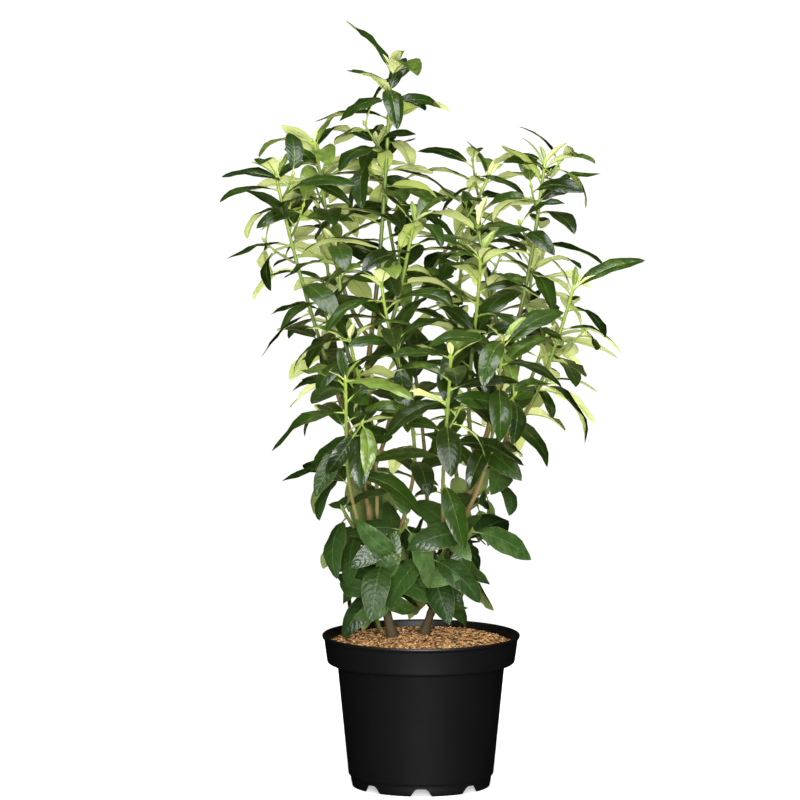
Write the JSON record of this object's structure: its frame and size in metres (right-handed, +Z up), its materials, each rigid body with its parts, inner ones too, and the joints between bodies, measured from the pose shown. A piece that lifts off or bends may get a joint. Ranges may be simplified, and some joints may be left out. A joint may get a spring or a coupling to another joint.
{
  "type": "potted cherry laurel",
  "caption": "Young evergreen laurel shrub in a round black nursery pot: woody stems and boughs rise from bark mulch and carry leafy shoots with long, arching leaves.",
  "frame": {"origin": "centre of the flat underside of the pot, on the pot's axis, in its standing plane", "axes": "+Z up along the pot's axis; -Y is the front seen in the picture; +X is to the viewer's right"},
  "size_m": [0.5969, 0.5706, 1.0736],
  "materials": {
    "black_plastic": "moulded black polypropylene with a soft sheen",
    "peat_mix": "moist peat mix",
    "bark_chips": "loose pine bark chips",
    "laurel_bark": "thin tan-brown bark",
    "green_foliage": "glossy leaves on lime-green stems",
    "old_foliage": "glossy older leaves"
  },
  "bodies": {
    "root": {"pot": "black_plastic", "growing_medium": "peat_mix", "bark_mulch": "bark_chips", "main_stem": "laurel_bark", "right_stem": "laurel_bark", "bough_left": "laurel_bark", "bough_front_left": "laurel_bark", "bough_front": "laurel_bark", "bough_low_left": "laurel_bark", "bough_back_left": "laurel_bark", "bough_behind": "laurel_bark", "bough_right": "laurel_bark", "bough_front_right": "laurel_bark", "bough_front_middle": "laurel_bark", "bough_back_middle": "laurel_bark", "bough_back": "laurel_bark", "bough_back_right": "laurel_bark", "foliage_leader": "green_foliage", "foliage_right_leader": "green_foliage", "foliage_left_outer": "green_foliage", "foliage_left_inner": "green_foliage", "foliage_right_outer": "green_foliage", "foliage_middle_right": "green_foliage", "foliage_right_inner": "green_foliage", "foliage_front": "green_foliage", "foliage_front_left": "green_foliage", "foliage_behind_leader": "green_foliage", "foliage_behind": "green_foliage", "foliage_low_left": "green_foliage", "foliage_back_left": "green_foliage", "foliage_back": "green_foliage", "foliage_back_right": "green_foliage", "foliage_front_right": "green_foliage", "foliage_front_middle": "green_foliage", "foliage_left_middle": "green_foliage", "foliage_upper_middle": "green_foliage", "foliage_right_low": "green_foliage", "spray_front_a": "old_foliage", "spray_front_b": "old_foliage", "spray_front_c": "old_foliage", "spray_right_b": "old_foliage", "spray_left_a": "old_foliage", "spray_left_b": "old_foliage", "spray_left_low": "old_foliage", "spray_back_a": "old_foliage", "spray_back_b": "old_foliage", "spray_front_d": "old_foliage"}
  },
  "joints": []
}
